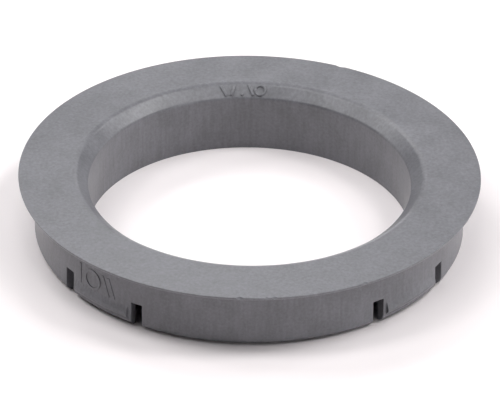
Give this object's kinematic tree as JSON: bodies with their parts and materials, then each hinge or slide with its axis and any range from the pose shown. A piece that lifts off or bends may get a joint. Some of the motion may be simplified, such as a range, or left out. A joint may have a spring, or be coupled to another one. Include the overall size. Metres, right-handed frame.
{
  "type": "hub centric ring",
  "caption": "One-piece moulded plastic spigot ring: thin, slightly domed flange, sloped bore mouth, straight bore, and a hollow outer wall with snap tongues that centres a wheel on a smaller hub.",
  "frame": {"origin": "centre of the bore at the ring's foot, on the surface that it lies on", "axes": "+Z along the bore towards the flange, +Y towards the mould mark on the bore's mouth, +X to the right of it"},
  "size_m": [0.0776, 0.0776, 0.0116],
  "materials": {
    "moulded_plastic": "grey moulded plastic, fine matte grain"
  },
  "bodies": {
    "root": {"hub_ring": "moulded_plastic"}
  },
  "joints": []
}
